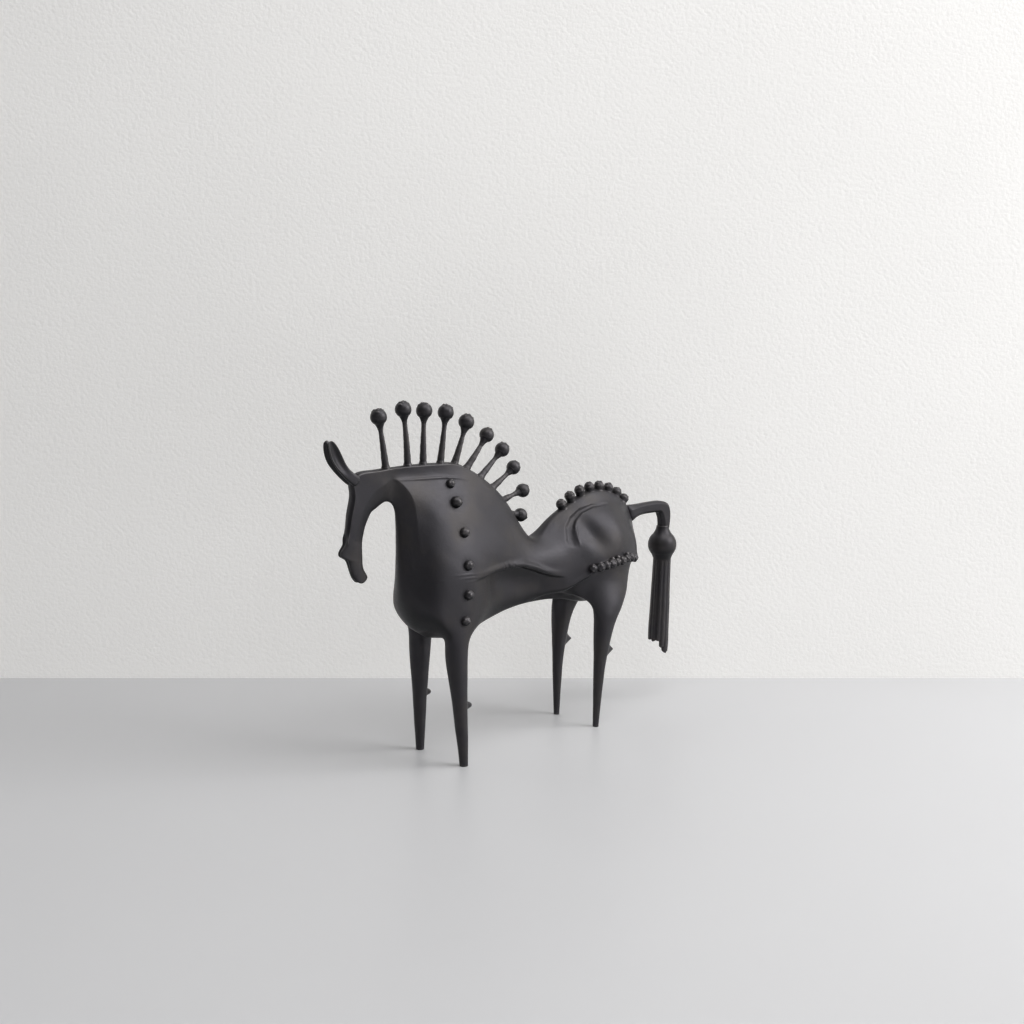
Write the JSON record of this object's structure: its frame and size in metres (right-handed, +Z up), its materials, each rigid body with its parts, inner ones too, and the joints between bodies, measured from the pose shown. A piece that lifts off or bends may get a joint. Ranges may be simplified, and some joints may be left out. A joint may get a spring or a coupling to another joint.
{
  "type": "horse statuette",
  "caption": "Standing stylised horse in blackened cast bronze, with a ball-tipped pin mane, beaded croup, studded shoulders, tapering legs and a hanging fluted tail tassel.",
  "frame": {"origin": "on the ground under the middle of the horse's overall length and width", "axes": "+Z up; the horse faces -X, so +X runs along its length towards the tail; +Y is its right side"},
  "size_m": [0.351, 0.0672, 0.2668],
  "materials": {
    "blackened_bronze": "satin black patina"
  },
  "bodies": {
    "root": {"leg_front_left": "blackened_bronze", "leg_rear_left": "blackened_bronze", "leg_front_right": "blackened_bronze", "leg_rear_right": "blackened_bronze", "mane_pin_01": "blackened_bronze", "mane_pin_02": "blackened_bronze", "mane_pin_03": "blackened_bronze", "mane_pin_04": "blackened_bronze", "mane_pin_05": "blackened_bronze", "mane_pin_06": "blackened_bronze", "mane_pin_07": "blackened_bronze", "mane_pin_08": "blackened_bronze", "mane_pin_09": "blackened_bronze", "mane_pin_10": "blackened_bronze", "croup_bead_01": "blackened_bronze", "croup_bead_02": "blackened_bronze", "croup_bead_03": "blackened_bronze", "croup_bead_04": "blackened_bronze", "croup_bead_05": "blackened_bronze", "croup_bead_06": "blackened_bronze", "croup_bead_07": "blackened_bronze", "croup_bead_08": "blackened_bronze", "shoulder_stud_left_1": "blackened_bronze", "shoulder_stud_left_2": "blackened_bronze", "shoulder_stud_left_3": "blackened_bronze", "shoulder_stud_left_4": "blackened_bronze", "shoulder_stud_left_5": "blackened_bronze", "shoulder_stud_left_6": "blackened_bronze", "shoulder_stud_right_1": "blackened_bronze", "shoulder_stud_right_2": "blackened_bronze", "shoulder_stud_right_3": "blackened_bronze", "shoulder_stud_right_4": "blackened_bronze", "shoulder_stud_right_5": "blackened_bronze", "shoulder_stud_right_6": "blackened_bronze", "haunch_beads_left": "blackened_bronze", "haunch_beads_right": "blackened_bronze", "ear_left": "blackened_bronze", "ear_right": "blackened_bronze", "tail_bar": "blackened_bronze", "tail_tassel": "blackened_bronze", "head": "blackened_bronze", "fore_body": "blackened_bronze", "hind_body": "blackened_bronze"}
  },
  "joints": []
}
